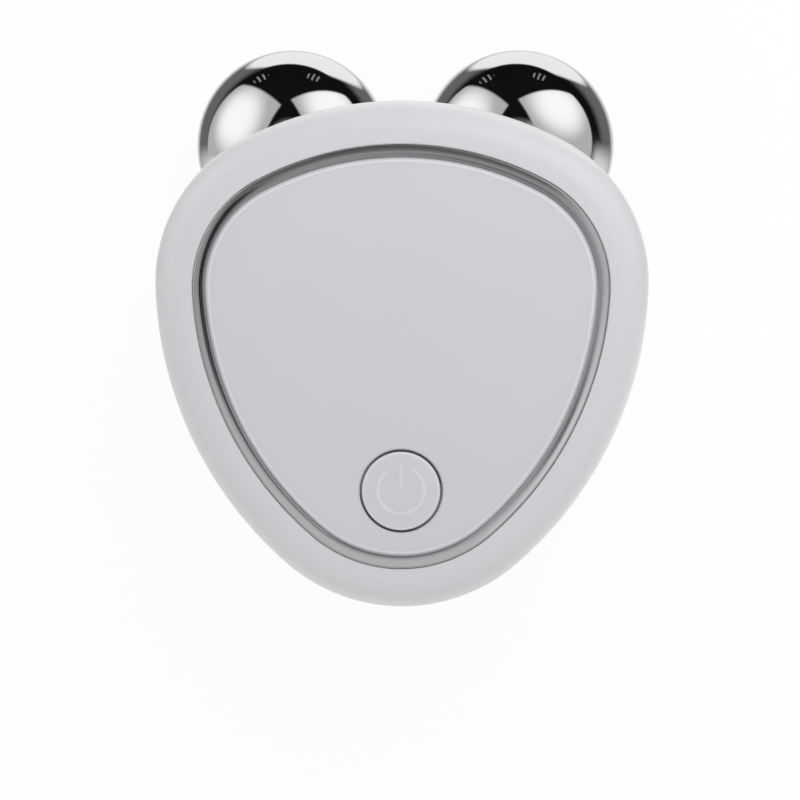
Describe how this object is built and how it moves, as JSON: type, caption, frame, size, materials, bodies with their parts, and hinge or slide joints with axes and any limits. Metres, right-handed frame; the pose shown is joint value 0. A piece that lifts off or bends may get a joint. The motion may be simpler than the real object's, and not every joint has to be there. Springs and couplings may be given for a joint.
{
  "type": "facial toning device",
  "caption": "Palm-size rounded triangular facial toner with a front plate, polished trim ring, push button and polished balls that roll on splayed axles at the back of its upper edge.",
  "frame": {"origin": "centre of the flat rest face on the back of the rear shell", "axes": "+Z out of the front plate, +Y towards the balls, +X to the right as the picture shows it"},
  "size_m": [0.062, 0.0706, 0.0353],
  "materials": {
    "shell_plastic": "satin white moulded plastic",
    "plate_plastic": "soft satin pale lavender-grey plastic",
    "button_plastic": "soft satin pale lavender-grey plastic",
    "polished_trim": "bright polished plating",
    "ball_chrome": "mirror polished plating",
    "hub_brass": "turned brass",
    "bush_bronze": "sintered bronze",
    "axle_steel": "ground stainless steel",
    "screw_steel": "zinc plated steel",
    "switch_metal": "nickel plated",
    "socket_steel": "nickel plated sheet",
    "board_green": "solder mask",
    "black_plastic": "moulded black",
    "ferrite": "pressed ferrite",
    "ceramic_tan": "fired ceramic",
    "battery_foil": "laminated foil pouch",
    "adhesive_film": "clear adhesive film",
    "foam": "closed-cell foam",
    "lead_red": "soft insulation",
    "lead_green": "soft insulation"
  },
  "bodies": {
    "casing": {"rear_shell": "shell_plastic", "front_shell": "shell_plastic", "trim_ring": "polished_trim", "front_plate": "plate_plastic", "plate_tape": "adhesive_film", "housing_screws": "screw_steel", "switch_body": "black_plastic", "circuit_board": "board_green", "board_screws": "screw_steel", "control_chip": "black_plastic", "charger_chip": "black_plastic", "boost_inductor": "ferrite", "filter_capacitors": "ceramic_tan", "charging_socket": "socket_steel", "socket_tongue": "black_plastic", "battery": "battery_foil", "battery_pad": "foam", "battery_leads": "lead_red", "right_clip": "axle_steel", "right_washer": "axle_steel", "right_axle": "axle_steel", "right_nut": "hub_brass", "right_terminal": "hub_brass", "right_lead": "lead_green", "left_clip": "axle_steel", "left_washer": "axle_steel", "left_axle": "axle_steel", "left_nut": "hub_brass", "left_terminal": "hub_brass", "left_lead": "lead_green"},
    "button": {"power_button": "button_plastic", "switch_plunger": "switch_metal"},
    "right_roller": {"right_ball": "ball_chrome", "right_hub": "hub_brass", "right_bush": "bush_bronze"},
    "left_roller": {"left_ball": "ball_chrome", "left_hub": "hub_brass", "left_bush": "bush_bronze"}
  },
  "joints": [
    {"name": "button_press", "type": "slide", "parent": "casing", "child": "button", "axis": [0, 0, -1], "range_m": [0, 0.0004], "stiffness_N_per_m": 4000},
    {"name": "right_ball_roll", "type": "hinge", "parent": "casing", "child": "right_roller", "pos_m": [0.01455, 0.0266, 0.01225], "axis": [0.5185, 0.7687, -0.3746], "continuous": true},
    {"name": "left_ball_roll", "type": "hinge", "parent": "casing", "child": "left_roller", "pos_m": [-0.01455, 0.0266, 0.01225], "axis": [-0.5185, 0.7687, -0.3746], "continuous": true}
  ]
}
